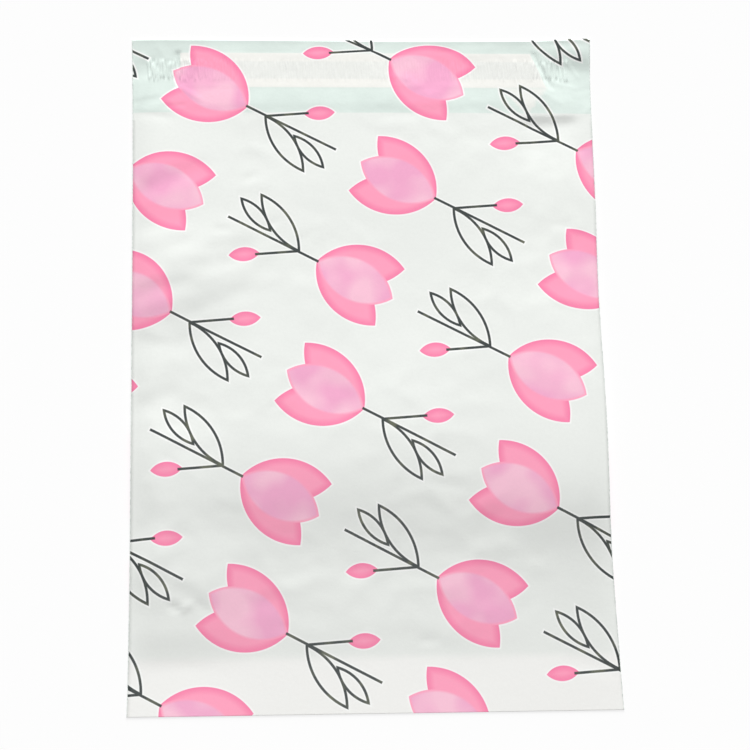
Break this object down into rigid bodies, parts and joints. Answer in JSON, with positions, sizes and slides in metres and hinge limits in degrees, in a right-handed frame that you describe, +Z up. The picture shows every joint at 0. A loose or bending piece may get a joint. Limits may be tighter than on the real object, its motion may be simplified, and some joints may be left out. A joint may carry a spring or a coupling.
{
  "type": "poly mailer bag",
  "caption": "Flat shipping bag folded from one web of plastic film, side-welded, with an open flap that carries an adhesive strip under a release liner.",
  "frame": {"origin": "centre of the footprint, on the surface that the bag lies on", "axes": "+Y from the bottom fold to the flap's free edge, +X across the bag to the right, +Z up out of the printed face"},
  "size_m": [0.254, 0.373, 0.0068],
  "materials": {
    "film": "satin white polyethylene film, printed in pink and charcoal",
    "adhesive": "clear tacky hot melt, glossy",
    "liner": "satin siliconed release film"
  },
  "bodies": {
    "root": {"film_bag": "film", "adhesive_strip": "adhesive", "release_liner": "liner"}
  },
  "joints": []
}
